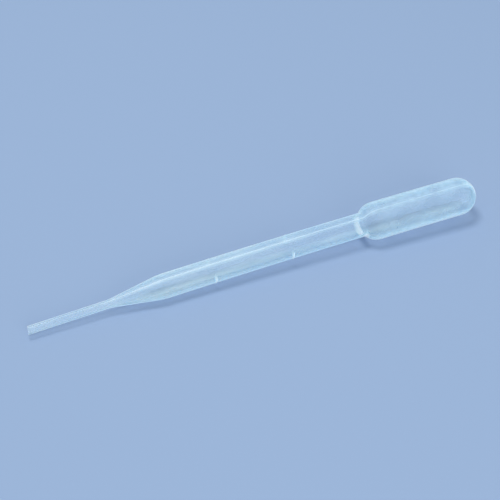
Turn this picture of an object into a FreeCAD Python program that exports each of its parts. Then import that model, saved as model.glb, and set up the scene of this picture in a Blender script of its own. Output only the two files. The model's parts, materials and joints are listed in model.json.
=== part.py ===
import FreeCAD, Part
import math
import os

# A graduated transfer pipette, blown in one piece from low-density polyethylene.
# Millimetres. It is turned about +X with the mouth of the tip at x = 0, then laid down
# the way it rests: on the ring where the stem begins and the ring where the bulb
# begins, with +Z up and the origin on the floor under the middle of its box.

# Tip: a narrow parallel spout, cut off square at its mouth
TIP_LENGTH = 26.0
TIP_R = 1.35
TIP_BORE_R = 0.9

# Taper: a plain cone from the tip to the stem, eased into both of them
TAPER_LENGTH = 17.0
TAPER_TIP_BLEND = 12.0
TAPER_STEM_BLEND = 25.0

# Stem: the measuring tube
STEM_LENGTH = 70.5
STEM_R = 4.05
STEM_WALL = 0.6

# Bulb: a thin barrel with round ends, squeezed between finger and thumb
BARREL_LENGTH = 30.1
BULB_R = 6.4
BULB_WALL = 0.5
NECK_FILLET = 0.5

# Graduations: a pair of raised bars round the stem at each step of volume held
MARK_VOLUME = 1000.0
MARK_WIDTH = 0.6
MARK_HEIGHT = 0.15
MARK_ROOT = 0.2
MARK_SPAN_DEG = 75.0
MARK_END_CLEARANCE = 2.0

# Seam: the fine ridge left down both sides where the two mould halves closed
SEAM_WIDTH = 0.3
SEAM_HEIGHT = 0.08

# Turn of the seam from the top towards -Y as the pipette lies
LYING_ROLL_DEG = 13.5

# How far the cavity runs out past the mouth, so that it opens
OVERCUT = 1.0

# Stations along the axis
TAPER_START = TIP_LENGTH
TAPER_END = TAPER_START + TAPER_LENGTH
NECK = TAPER_END + STEM_LENGTH
SHOULDER_CENTRE = NECK + math.sqrt(BULB_R**2 - STEM_R**2)
DOME_CENTRE = SHOULDER_CENTRE + BARREL_LENGTH

# Radii of the cavity
STEM_BORE_R = STEM_R - STEM_WALL
BULB_BORE_R = BULB_R - BULB_WALL

ORIGIN = FreeCAD.Vector(0, 0, 0)
ALONG = FreeCAD.Vector(1, 0, 0)
ACROSS = FreeCAD.Vector(0, 1, 0)
OUTWARD = FreeCAD.Vector(0, 0, 1)


def at(x, radius):
    """A point of a half section, drawn in the XZ plane above the axis."""
    return ALONG * x + OUTWARD * radius


def line(start, end):
    return Part.LineSegment(start, end).toShape()


def arc_about(centre, start, end):
    """The shorter arc from start to end about centre."""
    radius = (start - centre).Length
    middle = centre + ((start - centre) + (end - centre)).normalize() * radius
    return Part.Arc(start, middle, end).toShape()


def blend(before, corner, after, radius):
    """The start, end and centre of the arc of this radius that eases a corner."""
    back = (before - corner).normalize()
    ahead = (after - corner).normalize()
    half_angle = back.getAngle(ahead) / 2
    reach = radius / math.tan(half_angle)
    centre = corner + (back + ahead).normalize() * (radius / math.sin(half_angle))
    return corner + back * reach, corner + ahead * reach, centre


def taper_blends(mouth_x, tip_r, stem_r):
    """The two arcs that ease the cone into the tip and into the stem."""
    tip_corner, stem_corner = at(TAPER_START, tip_r), at(TAPER_END, stem_r)
    into_tip = blend(at(mouth_x, tip_r), tip_corner, stem_corner, TAPER_TIP_BLEND)
    into_stem = blend(tip_corner, stem_corner, at(NECK, stem_r), TAPER_STEM_BLEND)
    return into_tip, into_stem


def neck_blend(stem_r, bulb_r, fillet):
    """The start, end and centre of the fillet between the stem and the round shoulder."""
    reach = math.sqrt((bulb_r + fillet)**2 - (stem_r + fillet)**2)
    start = at(SHOULDER_CENTRE - reach, stem_r)
    centre = start + OUTWARD * fillet
    towards_bulb = (at(SHOULDER_CENTRE, 0) - centre).normalize()
    return start, centre + towards_bulb * fillet, centre


def half_section(mouth_x, tip_r, stem_r, bulb_r, neck_fillet):
    """The face between the axis and an outline of the pipette, outer or inner."""
    mouth, nose = at(mouth_x, tip_r), at(DOME_CENTRE + bulb_r, 0)
    tip_blend, stem_blend = taper_blends(mouth_x, tip_r, stem_r)
    neck = neck_blend(stem_r, bulb_r, neck_fillet)
    barrel_start, barrel_end = at(SHOULDER_CENTRE, bulb_r), at(DOME_CENTRE, bulb_r)
    return Part.Face(Part.Wire([
        line(at(mouth_x, 0), mouth),
        line(mouth, tip_blend[0]),
        arc_about(tip_blend[2], tip_blend[0], tip_blend[1]),
        line(tip_blend[1], stem_blend[0]),
        arc_about(stem_blend[2], stem_blend[0], stem_blend[1]),
        line(stem_blend[1], neck[0]),
        arc_about(neck[2], neck[0], neck[1]),
        arc_about(at(SHOULDER_CENTRE, 0), neck[1], barrel_start),
        line(barrel_start, barrel_end),
        arc_about(at(DOME_CENTRE, 0), barrel_end, nose),
        line(nose, at(mouth_x, 0)),
    ]))


def outside():
    section = half_section(0, TIP_R, STEM_R, BULB_R, NECK_FILLET)
    return section.revolve(ORIGIN, ALONG, 360)


def cavity():
    """The air inside, from past the mouth to the dome."""
    neck_fillet = NECK_FILLET + BULB_WALL
    section = half_section(-OVERCUT, TIP_BORE_R, STEM_BORE_R, BULB_BORE_R, neck_fillet)
    return section.revolve(ORIGIN, ALONG, 360)


def seam():
    """A thin plate through the axis whose rim stands out of the outline as two ridges."""
    tip_rim, stem_rim, bulb_rim = TIP_R + SEAM_HEIGHT, STEM_R + SEAM_HEIGHT, BULB_R + SEAM_HEIGHT
    section = half_section(0, tip_rim, stem_rim, bulb_rim, NECK_FILLET)
    section.translate(ACROSS * (-SEAM_WIDTH / 2))
    upper = section.extrude(ACROSS * SEAM_WIDTH)
    lower = upper.copy()
    lower.rotate(ORIGIN, ALONG, 180)
    return upper.fuse(lower)


def mark_stations():
    """Where the cavity has filled by each whole step, as far as the stem goes."""
    tip_volume = math.pi * TIP_BORE_R**2 * TIP_LENGTH
    cone_term = TIP_BORE_R**2 + TIP_BORE_R * STEM_BORE_R + STEM_BORE_R**2
    taper_volume = math.pi * cone_term * TAPER_LENGTH / 3
    step = MARK_VOLUME / (math.pi * STEM_BORE_R**2)
    stem_foot = TAPER_END - (tip_volume + taper_volume) / (math.pi * STEM_BORE_R**2)
    first_whole = math.ceil((TAPER_END + MARK_END_CLEARANCE - stem_foot) / step)
    last_whole = math.floor((NECK - MARK_END_CLEARANCE - stem_foot) / step)
    return [stem_foot + step * count for count in range(first_whole, last_whole + 1)]


def mark_bar(station):
    """One raised bar with a rounded crown, bent round the stem and centred on +Z."""
    low, high = station - MARK_WIDTH / 2, station + MARK_WIDTH / 2
    root_r = STEM_R - MARK_ROOT
    foot, crown, far_foot = at(low, STEM_R), at(station, STEM_R + MARK_HEIGHT), at(high, STEM_R)
    section = Part.Face(Part.Wire([
        line(at(low, root_r), foot),
        Part.Arc(foot, crown, far_foot).toShape(),
        line(far_foot, at(high, root_r)),
        line(at(high, root_r), at(low, root_r)),
    ]))
    section.rotate(ORIGIN, ALONG, -MARK_SPAN_DEG / 2)
    return section.revolve(ORIGIN, ALONG, MARK_SPAN_DEG)


def marks():
    """A bar on the middle of each mould half, at every station."""
    bars = []
    for station in mark_stations():
        for side_deg in (90, 270):
            bar = mark_bar(station)
            bar.rotate(ORIGIN, ALONG, side_deg)
            bars.append(bar)
    return bars


def pipette():
    """The whole pipette, on the X axis with its seam upright."""
    return outside().multiFuse([seam(), *marks()]).cut(cavity()).removeSplitter()


def lying_tilt_deg():
    """The slope of a floor that touches both the start of the stem and of the bulb."""
    stem_centre = taper_blends(0, TIP_R, STEM_R)[1][2]
    run = SHOULDER_CENTRE - stem_centre.x
    rise = -stem_centre.z
    radius_gain = TAPER_STEM_BLEND - BULB_R
    return math.degrees(math.atan2(rise, run) - math.asin(radius_gain / math.hypot(run, rise)))


def lie_down(shape):
    """Roll the seam to its place, tip the bulb up and set the pipette on the floor."""
    shape.rotate(ORIGIN, ALONG, LYING_ROLL_DEG)
    shape.rotate(ORIGIN, ACROSS, -lying_tilt_deg())
    box = shape.optimalBoundingBox()
    shape.translate(FreeCAD.Vector(-box.Center.x, -box.Center.y, -box.ZMin))
    return shape


os.makedirs("parts", exist_ok=True)
lie_down(pipette()).exportStep("parts/pipette.step")
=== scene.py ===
import json
import math

import bpy
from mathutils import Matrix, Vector


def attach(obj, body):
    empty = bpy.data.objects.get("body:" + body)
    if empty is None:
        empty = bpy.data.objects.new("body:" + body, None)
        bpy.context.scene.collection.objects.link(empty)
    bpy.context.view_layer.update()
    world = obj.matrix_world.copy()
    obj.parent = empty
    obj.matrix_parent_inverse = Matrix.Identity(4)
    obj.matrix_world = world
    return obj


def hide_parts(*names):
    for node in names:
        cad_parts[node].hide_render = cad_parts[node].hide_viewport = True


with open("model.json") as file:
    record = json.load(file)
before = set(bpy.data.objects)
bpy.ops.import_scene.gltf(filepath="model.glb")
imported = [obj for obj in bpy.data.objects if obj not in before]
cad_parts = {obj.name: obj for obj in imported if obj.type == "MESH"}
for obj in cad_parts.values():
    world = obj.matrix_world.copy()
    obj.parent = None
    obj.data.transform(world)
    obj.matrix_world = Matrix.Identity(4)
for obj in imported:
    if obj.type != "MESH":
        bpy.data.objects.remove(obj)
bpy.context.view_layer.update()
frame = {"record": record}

MM = 0.001

# ------------------------------------------------------------------ the pipette
# One piece of low-density polyethylene. A hot tube is shut between two mould halves,
# blown out against them and cut off at the tip, which leaves a thin milky wall, a fine
# seam down both sides, and the graduations standing proud of the stem.

TIP_LENGTH = 26.0 * MM
TIP_R = 1.35 * MM
TAPER_LENGTH = 17.0 * MM
TAPER_TIP_BLEND = 12.0 * MM
TAPER_STEM_BLEND = 25.0 * MM
STEM_LENGTH = 70.5 * MM
STEM_R = 4.05 * MM
STEM_WALL = 0.6 * MM
BARREL_LENGTH = 30.1 * MM
BULB_R = 6.4 * MM
BULB_WALL = 0.5 * MM
NECK_FILLET = 0.5 * MM
RIM_EDGE = 0.05 * MM

FIRST_MARK = 60.44 * MM
MARK_STEP = 26.74 * MM
MARK_COUNT = 2
MARK_WIDTH = 0.6 * MM
MARK_HEIGHT = 0.15 * MM
MARK_SPAN = math.radians(75)

SEAM_WIDTH = 0.3 * MM
SEAM_HEIGHT = 0.08 * MM
SEAM_ROLL = math.radians(13.5)
# The ridge's foot, in half widths of the seam, and how near the axis it dies out on the nose
RIDGE_FOOT = 1.2
RIDGE_END = 0.2 * MM

# The skin that the mould shaped is this uneven, and the one that the air blew several times
# as much. They lie apart in the noise, so that they don't swell together. The hot tube was
# drawn out, so swellings and clouds are longer than they are wide
WALL_UNEVENNESS = 0.03 * MM
AIR_SIDE_UNEVENNESS = 3.0
SKINS_APART = 7.3
SWELLINGS_PER_METRE = 260.0
DRAWN_OUT = 0.3

# The blade took the tip off a little out of square, and the cooling stem bowed sideways
MOUTH_SKEW = math.radians(8)
MOUTH_TURN = math.radians(120)
CUT_REACH = 4.0 * MM
BOW = 1.03 * MM

# Where the plastic changes its look: the tip gives way to the stem over the first stretch, the
# stem grows clearer from CLEARS_FROM to the neck, and the bulb's look is full BULB_STARTS past
# it. The upper and lower halves, whose difference is partly painted light, blend where the cosine
# of the turn is within HALVES_BLEND of 0
TIP_GIVES_WAY = (22.0 * MM, 40.0 * MM)
CLEARS_FROM = 55.0 * MM
BULB_STARTS = 5.0 * MM
HALVES_BLEND = 0.3

# How far the plastic is whiter beside a seam and the neck, and round a mark in its half widths.
# Beside the upper seam and at the neck this white is partly painted highlight
SEAM_SPREAD = 1.1 * MM
NECK_SPREAD = 0.9 * MM
MARK_SPREAD = (0.5, 1.8)

# The mesh has rings along the pipette and columns round it, which crowd in at the seams
RING_STEP = 1.5 * MM
TIP_RING_STEP = 1.0 * MM
MARK_RING_STEP = MARK_WIDTH / 8
COLUMNS = 200
COLUMN_CROWDING = 0.4
JOIN_WITHIN = 0.0005 * MM

mounts = {mount["name"]: mount for mount in frame["record"]["mounts"]}
tip_bore = mounts["tip_bore"]
OUT_OF_TIP = Vector(tip_bore["axis"]).normalized()
TIP_BORE_R = tip_bore["dims"]["r_mm"] * MM
MOUTH = Vector(tip_bore["pos_m"]) + OUT_OF_TIP * tip_bore["dims"]["length_mm"] / 2 * MM
TILT = math.atan2(-OUT_OF_TIP.z, -OUT_OF_TIP.x)

TAPER_END = TIP_LENGTH + TAPER_LENGTH
NECK = TAPER_END + STEM_LENGTH
SHOULDER = NECK + math.sqrt(BULB_R**2 - STEM_R**2)
DOME = SHOULDER + BARREL_LENGTH
LENGTH = DOME + BULB_R


def spaced(start, end, step):
    """Stations from start up to but without end, no further apart than step."""
    count = max(1, math.ceil(abs(end - start) / step))
    return [start + (end - start) * i / count for i in range(count)]


def arc(centre, radius, start_deg, end_deg, steps):
    """Points (along, out) of an arc, from one angle to another."""
    angles = [math.radians(start_deg + (end_deg - start_deg) * i / steps) for i in range(steps + 1)]
    return [(centre[0] + radius * math.cos(a), centre[1] + radius * math.sin(a)) for a in angles]


def stem_stations(start, end):
    """Stations down the straight stem from the bulb, close together where a mark stands."""
    stations = []
    here = start
    for number in reversed(range(MARK_COUNT)):
        mark = FIRST_MARK + MARK_STEP * number
        stations += spaced(here, mark + MARK_WIDTH, RING_STEP)
        stations += spaced(mark + MARK_WIDTH, mark - MARK_WIDTH, MARK_RING_STEP)
        here = mark - MARK_WIDTH
    return stations + spaced(here, end, RING_STEP)


def skin(tip_r, stem_r, bulb_r, neck_fillet):
    """One skin of the wall, as points (along, out) from the nose back to the mouth."""
    slope = math.atan2(stem_r - tip_r, TAPER_LENGTH)
    into_stem = TAPER_END + TAPER_STEM_BLEND * math.tan(slope / 2)
    into_tip = TIP_LENGTH - TAPER_TIP_BLEND * math.tan(slope / 2)
    tip_blend_end = into_tip + TAPER_TIP_BLEND * math.sin(slope)
    lean = math.asin((stem_r + neck_fillet) / (bulb_r + neck_fillet))
    fillet_x = SHOULDER - (bulb_r + neck_fillet) * math.cos(lean)
    fillet_centre = (fillet_x, stem_r + neck_fillet)
    stem_blend_centre = (into_stem, stem_r - TAPER_STEM_BLEND)
    tip_blend_centre = (into_tip, tip_r + TAPER_TIP_BLEND)
    slope_deg, lean_deg = math.degrees(slope), math.degrees(lean)
    points = arc((DOME, 0), bulb_r, 0, 90, steps=28)[:-1]
    points += [(x, bulb_r) for x in spaced(DOME, SHOULDER, RING_STEP)]
    points += arc((SHOULDER, 0), bulb_r, 90, 180 - lean_deg, steps=16)
    points += arc(fillet_centre, neck_fillet, -lean_deg, -90, steps=5)[1:-1]
    points += [(x, stem_r) for x in stem_stations(fillet_x, into_stem)]
    points += arc(stem_blend_centre, TAPER_STEM_BLEND, 90, 90 + slope_deg, steps=6)
    points += [
        (x, tip_r + (x - TIP_LENGTH) * math.tan(slope))
        for x in spaced(points[-1][0], tip_blend_end, RING_STEP)[1:]
    ]
    points += arc(tip_blend_centre, TAPER_TIP_BLEND, slope_deg - 90, -90, steps=5)
    points += [(x, tip_r) for x in spaced(into_tip, RIM_EDGE, TIP_RING_STEP)[1:]]
    return points + [(RIM_EDGE, tip_r)]


def outline():
    """Both skins joined round the rim of the mouth, as one chain that knows its outer points."""
    outer = skin(TIP_R, STEM_R, BULB_R, NECK_FILLET)
    inner = skin(TIP_BORE_R, STEM_R - STEM_WALL, BULB_R - BULB_WALL, NECK_FILLET + BULB_WALL)
    rim = [(0, TIP_R - RIM_EDGE), (0, TIP_BORE_R + RIM_EDGE)]
    chain = outer + rim + inner[::-1]
    links = [(i, i + 1) for i in range(len(chain) - 1)]
    mesh = bpy.data.meshes.new("pipette outline")
    mesh.from_pydata([(x, 0, r) for x, r in chain], links, [])
    is_outer = [1.0] * len(outer) + [0.0] * (len(chain) - len(outer))
    mesh.attributes.new("outer", "FLOAT", "POINT").data.foreach_set("value", is_outer)
    return bpy.data.objects.new("pipette", mesh)


class Graph:
    """Adds nodes to a tree. A value handed to a node is a number or another node's output."""

    def __init__(self, tree):
        self.tree = tree

    def add(self, kind, values=None, **settings):
        node = self.tree.nodes.new(kind)
        for name, setting in settings.items():
            setattr(node, name, setting)
        for name, value in (values or {}).items():
            self.feed(node.inputs[name], value)
        return node

    def feed(self, socket, value):
        if isinstance(value, bpy.types.NodeSocket):
            self.tree.links.new(value, socket)
        else:
            socket.default_value = value

    def maths(self, operation, *values):
        node = self.tree.nodes.new("ShaderNodeMath")
        node.operation = operation
        for socket, value in zip(node.inputs, values):
            self.feed(socket, value)
        return node.outputs[0]

    def product(self, first, *others):
        for value in others:
            first = self.maths("MULTIPLY", first, value)
        return first

    def total(self, start, parts):
        """The start and, on top of it, each part times its share."""
        for part, share in parts:
            start = self.maths("ADD", start, self.maths("MULTIPLY", part, share))
        return start

    def less(self, value, share=1.0):
        """1 less a share of the value."""
        return self.maths("SUBTRACT", 1.0, self.maths("MULTIPLY", value, share))

    def fade(self, value, start, end):
        """1 at start, easing to 0 at end, and level beyond them."""
        ends = {"Value": value, "From Min": start, "From Max": end, "To Min": 1.0, "To Max": 0.0}
        node = self.add("ShaderNodeMapRange", ends, interpolation_type="SMOOTHSTEP")
        return node.outputs["Result"]

    def noise(self, place, scale, detail):
        values = {"Vector": place, "Scale": scale, "Detail": detail}
        return self.add("ShaderNodeTexNoise", values).outputs[0]

    def split(self, vector):
        return self.add("ShaderNodeSeparateXYZ", {"Vector": vector}).outputs

    def joined(self, x, y, z):
        return self.add("ShaderNodeCombineXYZ", {"X": x, "Y": y, "Z": z}).outputs[0]


FORM_INPUTS = {
    "Columns": ("NodeSocketInt", COLUMNS),
    "Seam Width": ("NodeSocketFloat", SEAM_WIDTH),
    "Seam Height": ("NodeSocketFloat", SEAM_HEIGHT),
    "Seam Spread": ("NodeSocketFloat", SEAM_SPREAD),
    "Neck": ("NodeSocketFloat", NECK),
    "First Mark": ("NodeSocketFloat", FIRST_MARK),
    "Mark Step": ("NodeSocketFloat", MARK_STEP),
    "Mark Count": ("NodeSocketInt", MARK_COUNT),
    "Mark Width": ("NodeSocketFloat", MARK_WIDTH),
    "Mark Height": ("NodeSocketFloat", MARK_HEIGHT),
    "Mark Span": ("NodeSocketFloat", MARK_SPAN),
    "Wall Unevenness": ("NodeSocketFloat", WALL_UNEVENNESS),
    "Mouth Skew": ("NodeSocketFloat", MOUTH_SKEW),
    "Mouth Turn": ("NodeSocketFloat", MOUTH_TURN),
    "Length": ("NodeSocketFloat", LENGTH),
    "Bow": ("NodeSocketFloat", BOW),
    "Lie": ("NodeSocketVector", (SEAM_ROLL, -TILT, 0)),
    "Mouth": ("NodeSocketVector", tuple(MOUTH)),
    "Plastic": ("NodeSocketMaterial", None),
}


def raised_bars(g, given, along, from_seam):
    """How proud the nearest mark stands at a place, from 0 to 1, and how white it is under it.

    Each mark is a bar with a rounded crown across the middle of a mould half. It dies out
    towards its ends.
    """
    maths, product = g.maths, g.product
    last_mark = product(maths("SUBTRACT", given["Mark Count"], 1), given["Mark Step"])
    past_first = maths("SUBTRACT", along, given["First Mark"])
    nearest = maths("ROUND", maths("DIVIDE", past_first, given["Mark Step"]))
    nearest = maths("MAXIMUM", product(nearest, given["Mark Step"]), 0.0)
    nearest = maths("MINIMUM", nearest, last_mark)
    off_mark = maths("ABSOLUTE", maths("SUBTRACT", past_first, nearest))
    off_crown = maths("DIVIDE", off_mark, product(given["Mark Width"], 0.5))
    crown = maths("MAXIMUM", g.less(product(off_crown, off_crown)), 0.0)
    half_span = product(given["Mark Span"], 0.5)
    off_middle = maths("SUBTRACT", math.pi / 2, from_seam)
    within = g.fade(off_middle, product(half_span, 0.5), half_span)
    return product(crown, within), product(g.fade(off_crown, *MARK_SPREAD), within)


def whiteness(g, given, along, upright, off_seam, ridge, under_bar):
    """The attributes that tell the material how milky, piled up and blue the plastic is, with a
    painted highlight along the upper seam, a painted glint on the lower half of the neck ring, and
    painted light on the lower half.
    """
    maths, product, less, fade = g.maths, g.product, g.less, g.fade
    neck = given["Neck"]
    tip = fade(along, *TIP_GIVES_WAY)
    clearer = fade(along, neck, CLEARS_FROM)
    bulb = fade(along, maths("ADD", neck, BULB_STARTS), neck)
    neck_ring = fade(maths("ABSOLUTE", maths("SUBTRACT", along, neck)), 0.0, NECK_SPREAD)
    lower = fade(upright, -HALVES_BLEND, HALVES_BLEND)

    # Plastic piles up under the marks, round the neck and at the seams. The upper seam's white line
    # is partly piled plastic and partly a painted highlight, and the lower half of the neck ring is
    # a painted glint.
    # A seam is faintest on the tip, and fades towards the neck and the bulb. The lower one is wide
    # and faint all along, partly painted light that brightens the lower half
    seam_share = maths("SUBTRACT", less(tip, 0.8), product(clearer, 0.35))
    # The lower seam spreads wider: partly painted light over the lower half
    wider = g.total(0.0, ((lower, 0.6), (bulb, 0.4)))
    spread = product(given["Seam Spread"], maths("ADD", wider, 1.0))
    # Beside and along the upper seam the white is partly a painted highlight
    beside_seam = product(fade(off_seam, 0.0, spread), seam_share)
    sharp_seam = product(ridge, less(lower, 0.7), less(bulb, 0.75), seam_share)
    piled_and_highlight = g.total(0.0, (
        (beside_seam, 0.35),
        (sharp_seam, 0.65),
        (under_bar, 0.8),
        (neck_ring, 0.12),
        # The lower, far half of the neck ring: a painted glint
        (product(neck_ring, lower), 2.2),
    ))

    # The wall is milkiest below: painted light that whitens the lower half over the shadow seen
    # through it.
    # It is clearer on the tip and towards the neck, where the stem is also bluer. The bulb is as
    # milky as the foot of the stem, and bluer above
    low_bulb = product(bulb, lower)
    high_bulb = maths("SUBTRACT", bulb, low_bulb)
    milk_and_painted_light = g.total(1.0, (
        (tip, -0.3),
        # Painted light: the lower half is made milkier and so whiter
        (lower, 0.35),
        (clearer, -0.45),
        (bulb, 0.45),
        # Painted light: more of it on the bulb's lower half
        (low_bulb, 0.15),
        (piled_and_highlight, 7.0),
    ))
    blue = g.total(high_bulb, ((product(clearer, less(bulb)), 0.9),))
    return {"milk_and_painted_light": milk_and_painted_light, "piled_and_highlight": piled_and_highlight, "blue": blue, "bulb": bulb}


def blown_form():
    """The tree that turns the outline round the axis and adds what mould and blade leave."""
    tree = bpy.data.node_groups.new("Blown pipette", "GeometryNodeTree")
    tree.interface.new_socket("Geometry", in_out="INPUT", socket_type="NodeSocketGeometry")
    for name, (kind, _) in FORM_INPUTS.items():
        tree.interface.new_socket(name, in_out="INPUT", socket_type=kind)
    tree.interface.new_socket("Geometry", in_out="OUTPUT", socket_type="NodeSocketGeometry")
    g = Graph(tree)
    given = g.add("NodeGroupInput").outputs
    maths, product, less, fade = g.maths, g.product, g.less, g.fade
    position = g.add("GeometryNodeInputPosition").outputs[0]

    # A sheet with a row for each point of the outline and columns round the axis
    chain = {"Geometry": given["Geometry"]}
    rows = g.add("GeometryNodeAttributeDomainSize", chain).outputs["Point Count"]
    sheet = g.add("GeometryNodeMeshGrid", {"Vertices X": rows, "Vertices Y": given["Columns"]})
    place = g.split(position)
    last_row = maths("SUBTRACT", rows, 1)
    row = maths("ROUND", product(maths("ADD", place["X"], 0.5), last_row))

    def on_outline(value, data_type):
        """What a value is at this row's point of the outline."""
        values = {"Geometry": given["Geometry"], "Value": value, "Index": row}
        return g.add("GeometryNodeSampleIndex", values, data_type=data_type).outputs["Value"]

    section = g.split(on_outline(position, "FLOAT_VECTOR"))
    along, out = section["X"], section["Z"]
    is_outer = g.add("GeometryNodeInputNamedAttribute", {"Name": "outer"}).outputs["Attribute"]
    outer = on_outline(is_outer, "FLOAT")

    # The turn from the upper seam, with the columns closer together at both seams
    turn = maths("ADD", place["Y"], 0.5)
    crowd = product(maths("SINE", product(turn, 4 * math.pi)), COLUMN_CROWDING)
    angle = maths("SUBTRACT", product(turn, 2 * math.pi), crowd)
    sine, cosine = maths("SINE", angle), maths("COSINE", angle)
    from_seam = maths("ABSOLUTE", maths("WRAP", angle, math.pi / 2, -math.pi / 2))
    off_seam = product(from_seam, out)

    # The seam stands up as a fine rounded ridge, and the marks as bars
    half_widths_off = maths("DIVIDE", off_seam, product(given["Seam Width"], 0.5))
    ridge = product(fade(half_widths_off, 0.0, RIDGE_FOOT), outer)
    bar, under_bar = raised_bars(g, given, along, from_seam)
    bar = product(bar, outer)
    proud = maths("ADD", product(ridge, given["Seam Height"]), product(bar, given["Mark Height"]))
    proud = product(proud, less(fade(out, 0.0, RIDGE_END)))

    # The wall is never quite even, least of all on the side the air blew against, and more even
    # where it is narrow. The swellings are read round the axis, so they meet after a full turn
    ripple = g.add(
        "ShaderNodeTexNoise",
        {
            "Vector": g.joined(product(along, DRAWN_OUT), product(sine, out), product(cosine, out)),
            "W": product(outer, SKINS_APART),
            "Scale": SWELLINGS_PER_METRE,
            "Detail": 1.0,
        },
        noise_dimensions="4D",
    ).outputs[0]
    air_side = maths("SUBTRACT", AIR_SIDE_UNEVENNESS, product(outer, AIR_SIDE_UNEVENNESS - 1.0))
    narrow = maths("MINIMUM", maths("DIVIDE", out, STEM_R), 1.0)
    swell = product(maths("SUBTRACT", ripple, 0.5), given["Wall Unevenness"], air_side, narrow)
    radius = maths("ADD", out, maths("ADD", proud, swell))

    # The blade's cut leans over at the mouth
    lean = maths("COSINE", maths("SUBTRACT", angle, given["Mouth Turn"]))
    lean = product(lean, radius, maths("TANGENT", given["Mouth Skew"]), fade(along, 0.0, CUT_REACH))
    to_the_side = product(sine, product(radius, -1.0))
    turned = g.joined(maths("SUBTRACT", along, lean), to_the_side, product(cosine, radius))

    sheet = sheet.outputs["Mesh"]
    looks = whiteness(g, given, along, cosine, off_seam, ridge, under_bar)
    for name, value in {**looks, "skin": outer}.items():
        sheet = g.add(
            "GeometryNodeStoreNamedAttribute",
            {"Geometry": sheet, "Name": name, "Value": value},
            data_type="FLOAT",
            domain="POINT",
        ).outputs[0]

    # The sheet is turned, closed along its edge, and laid down as the pipette lies
    form = g.add("GeometryNodeSetPosition", {"Geometry": sheet, "Position": turned}).outputs[0]
    join = {"Geometry": form, "Distance": JOIN_WITHIN}
    form = g.add("GeometryNodeMergeByDistance", join).outputs[0]
    lie = {"Geometry": form, "Rotation": given["Lie"], "Translation": given["Mouth"]}
    form = g.add("GeometryNodeTransform", lie).outputs[0]

    # The bow is level with the floor, and leaves both ends where they are
    from_middle = maths("DIVIDE", g.split(position)["X"], product(given["Length"], 0.5))
    sideways = product(less(maths("POWER", from_middle, 2.0)), given["Bow"])
    bow = g.joined(0.0, maths("MAXIMUM", sideways, 0.0), 0.0)
    form = g.add("GeometryNodeSetPosition", {"Geometry": form, "Offset": bow}).outputs[0]
    form = g.add("GeometryNodeSetShadeSmooth", {"Geometry": form}).outputs[0]
    form = g.add("GeometryNodeRealizeInstances", {"Geometry": form}).outputs[0]
    painted = g.add("GeometryNodeSetMaterial", {"Geometry": form, "Material": given["Plastic"]})
    g.add("NodeGroupOutput", {"Geometry": painted.outputs[0]})
    return tree


CLOUD_BLUE = (0.55, 0.77, 0.95, 1.0)
CLOUD_WHITE = (0.69, 0.88, 0.98, 1.0)
DEEP_BLUE = (0.38, 0.65, 0.96, 1.0)
# The white of piled-up plastic, also the colour of the painted seam highlight and neck-ring glint
PILED_AND_HIGHLIGHT_WHITE = (0.79, 0.95, 0.99, 1.0)
DEEPEST_BLUE = 0.4

CLOUD_CONTRAST = {"From Min": 0.25, "From Max": 0.75}
CLOUDS_PER_METRE = 240.0
MOTTLES_PER_METRE = 190.0
GRAINS_PER_METRE = 1900.0
GRAIN_DEPTH = 0.03 * MM
GRAIN_STRENGTH = 0.25
SATIN = {"To Min": 0.28, "To Max": 0.42}

# How strongly a skin hides what is behind it, seen face on: the plain film, what a cloud adds,
# the whole spread of the bulb's mottling, and the least that is left
FILM = 0.07
CLOUD_FILM = 0.05
MOTTLE_FILM = 0.22
LEAST_FILM = 0.03

# The outer skin is clearer face on by this share, and whitens faster edge on. A skin is never
# taken as more edge on than LEAST_SLANT
OUTER_CLEARER = 0.35
OUTER_GAIN = 2.0
LEAST_SLANT = 0.06
SCATTER_DEPTH = 1.5 * MM


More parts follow.
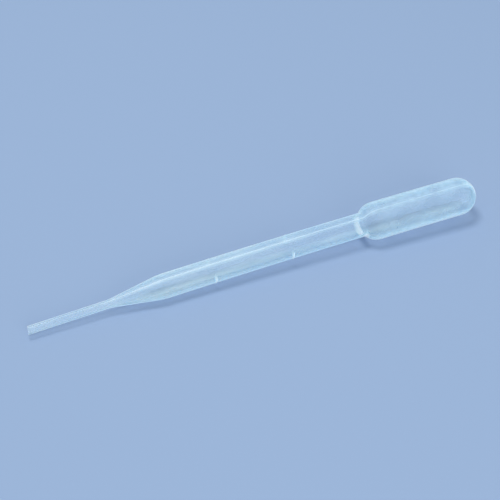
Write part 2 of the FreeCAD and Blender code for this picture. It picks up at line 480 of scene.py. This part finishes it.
def milky_polyethylene():
    """A satin, milky plastic: a cloudy film seen face on, and nearly white seen edge on."""
    material = bpy.data.materials.new("milky polyethylene")
    material.use_nodes = True
    material.node_tree.nodes.clear()
    g = Graph(material.node_tree)
    maths, product = g.maths, g.product

    def stored(name):
        return g.add("ShaderNodeAttribute", attribute_name=name).outputs["Fac"]

    def mixed(factor, plain, full):
        values = {"Factor": factor, "A": plain, "B": full}
        return g.add("ShaderNodeMix", values, data_type="RGBA").outputs["Result"]

    here = g.add("ShaderNodeTexCoord").outputs["Object"]
    stretch = {"Vector": here, "Scale": (DRAWN_OUT, 1.0, 1.0)}
    cloud = g.noise(g.add("ShaderNodeMapping", stretch).outputs[0], CLOUDS_PER_METRE, 2.0)
    cloud = g.add("ShaderNodeMapRange", {"Value": cloud, **CLOUD_CONTRAST}).outputs["Result"]
    grain = g.noise(here, GRAINS_PER_METRE, 2.0)

    tint = mixed(cloud, CLOUD_BLUE, CLOUD_WHITE)
    tint = mixed(product(stored("blue"), DEEPEST_BLUE), tint, DEEP_BLUE)
    # Painted highlight: the seam line and the neck-ring glint are mixed in as white with the piled
    # plastic
    colour = mixed(stored("piled_and_highlight"), tint, PILED_AND_HIGHLIGHT_WHITE)
    rough = g.add("ShaderNodeMapRange", {"Value": cloud, **SATIN}).outputs["Result"]
    bump = {"Height": grain, "Strength": GRAIN_STRENGTH, "Distance": GRAIN_DEPTH}

    # Light crosses more of the film where it is looked at edge on
    facing = g.add("ShaderNodeLayerWeight", {"Blend": 0.5}).outputs["Facing"]
    slant = maths("MAXIMUM", g.less(facing), LEAST_SLANT)
    outer = stored("skin")
    mottle = maths("SUBTRACT", g.noise(here, MOTTLES_PER_METRE, 3.0), 0.5)
    mottle = product(mottle, stored("bulb"), MOTTLE_FILM)
    film = maths("ADD", maths("ADD", product(cloud, CLOUD_FILM), FILM), mottle)
    film = maths("MAXIMUM", film, LEAST_FILM)
    # The milk attribute also carries the painted light of the lower half and the painted highlights
    haze = product(stored("milk_and_painted_light"), film, g.less(outer, OUTER_CLEARER))
    gain = maths("ADD", 1.0, product(outer, OUTER_GAIN))
    crossed = maths("DIVIDE", haze, maths("POWER", slant, gain))
    clear = maths("EXPONENT", product(crossed, -1.0))
    shader = g.add(
        "ShaderNodeBsdfPrincipled",
        {
            "Base Color": colour,
            "Roughness": rough,
            "IOR": 1.51,
            "Sheen Weight": 1.0,
            "Sheen Roughness": 0.3,
            "Subsurface Weight": 1.0,
            "Subsurface Scale": SCATTER_DEPTH,
            "Subsurface Radius": (1.0, 1.0, 1.0),
            "Alpha": g.less(clear),
            "Normal": g.add("ShaderNodeBump", bump).outputs[0],
        },
    )
    g.add("ShaderNodeOutputMaterial", {"Surface": shader.outputs[0]})
    return material


def put_in_scene(thing):
    bpy.context.scene.collection.objects.link(thing)


def blown(piece, plastic):
    """Runs the tree on the outline and leaves the result as a plain mesh."""
    put_in_scene(piece)
    modifier = piece.modifiers.new("blown form", "NODES")
    modifier.node_group = blown_form()
    for item in modifier.node_group.interface.items_tree:
        if item.name in FORM_INPUTS:
            value = FORM_INPUTS[item.name][1]
            modifier[item.identifier] = plastic if item.name == "Plastic" else value
    depsgraph = bpy.context.evaluated_depsgraph_get()
    mesh = bpy.data.meshes.new_from_object(piece.evaluated_get(depsgraph), depsgraph=depsgraph)
    piece.modifiers.clear()
    piece.data = mesh
    return piece


pipette = blown(outline(), milky_polyethylene())
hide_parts("pipette")
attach(pipette, "root")

# --------------------------------------------------------------------- the stage
# A plain pale floor under soft light from above and in front, with the camera looking
# down on the pipette as it lies.

FLOOR_SIZE = 4.0
FLOOR_COLOUR = (0.29, 0.39, 0.56, 1.0)
FLOOR_ROUGHNESS = 0.9

KEY_PLACE = Vector((-0.1, 0.2, 0.92))
KEY_SIZE = 0.35
KEY_POWER = 4.4
FILL_PLACE = Vector((0.1, -0.85, 0.3))
FILL_SIZE = 0.8
FILL_POWER = 4.4
ROOM_COLOUR = (0.80, 0.90, 1.0, 1.0)
ROOM_STRENGTH = 0.6

CAMERA_AZIMUTH = math.radians(-22.11)
CAMERA_ELEVATION = math.radians(44.40)
CAMERA_DISTANCE = 356.7 * MM
CAMERA_AIM = Vector((-2.50, 4.65, 5.16)) * MM
CAMERA_LENS = 79.2
CAMERA_SENSOR = 36.0
CAMERA_NEAREST = 10.0 * MM


def plain_floor():
    half = FLOOR_SIZE / 2
    mesh = bpy.data.meshes.new("floor")
    corners = [(-half, -half, 0), (half, -half, 0), (half, half, 0), (-half, half, 0)]
    mesh.from_pydata(corners, [], [(0, 1, 2, 3)])
    floor = bpy.data.objects.new("floor", mesh)
    put_in_scene(floor)
    material = bpy.data.materials.new("pale floor")
    material.use_nodes = True
    shader = material.node_tree.nodes["Principled BSDF"]
    shader.inputs["Base Color"].default_value = FLOOR_COLOUR
    shader.inputs["Roughness"].default_value = FLOOR_ROUGHNESS
    mesh.materials.append(material)


def set_up(thing, place, looking):
    """Puts a lamp or the camera in its place, looking along a direction."""
    thing.location = place
    thing.rotation_mode = "QUATERNION"
    thing.rotation_quaternion = looking.to_track_quat("-Z", "Y")
    put_in_scene(thing)


def soft_lamp(name, place, size, power):
    lamp = bpy.data.lights.new(name, "AREA")
    lamp.shape = "DISK"
    lamp.size = size
    lamp.energy = power
    set_up(bpy.data.objects.new(name, lamp), place, -place)


def camera():
    lens = bpy.data.cameras.new("camera")
    lens.lens = CAMERA_LENS
    lens.sensor_width = CAMERA_SENSOR
    lens.clip_start = CAMERA_NEAREST
    back = Vector((
        math.sin(CAMERA_AZIMUTH) * math.cos(CAMERA_ELEVATION),
        -math.cos(CAMERA_AZIMUTH) * math.cos(CAMERA_ELEVATION),
        math.sin(CAMERA_ELEVATION),
    ))
    camera_object = bpy.data.objects.new("camera", lens)
    set_up(camera_object, CAMERA_AIM + back * CAMERA_DISTANCE, -back)
    bpy.context.scene.camera = camera_object


def room_light():
    world = bpy.data.worlds.new("room")
    world.use_nodes = True
    background = world.node_tree.nodes["Background"]
    background.inputs["Color"].default_value = ROOM_COLOUR
    background.inputs["Strength"].default_value = ROOM_STRENGTH
    bpy.context.scene.world = world


plain_floor()
soft_lamp("key", KEY_PLACE, KEY_SIZE, KEY_POWER)
soft_lamp("fill", FILL_PLACE, FILL_SIZE, FILL_POWER)
room_light()
camera()
bpy.context.scene.view_settings.view_transform = "Standard"
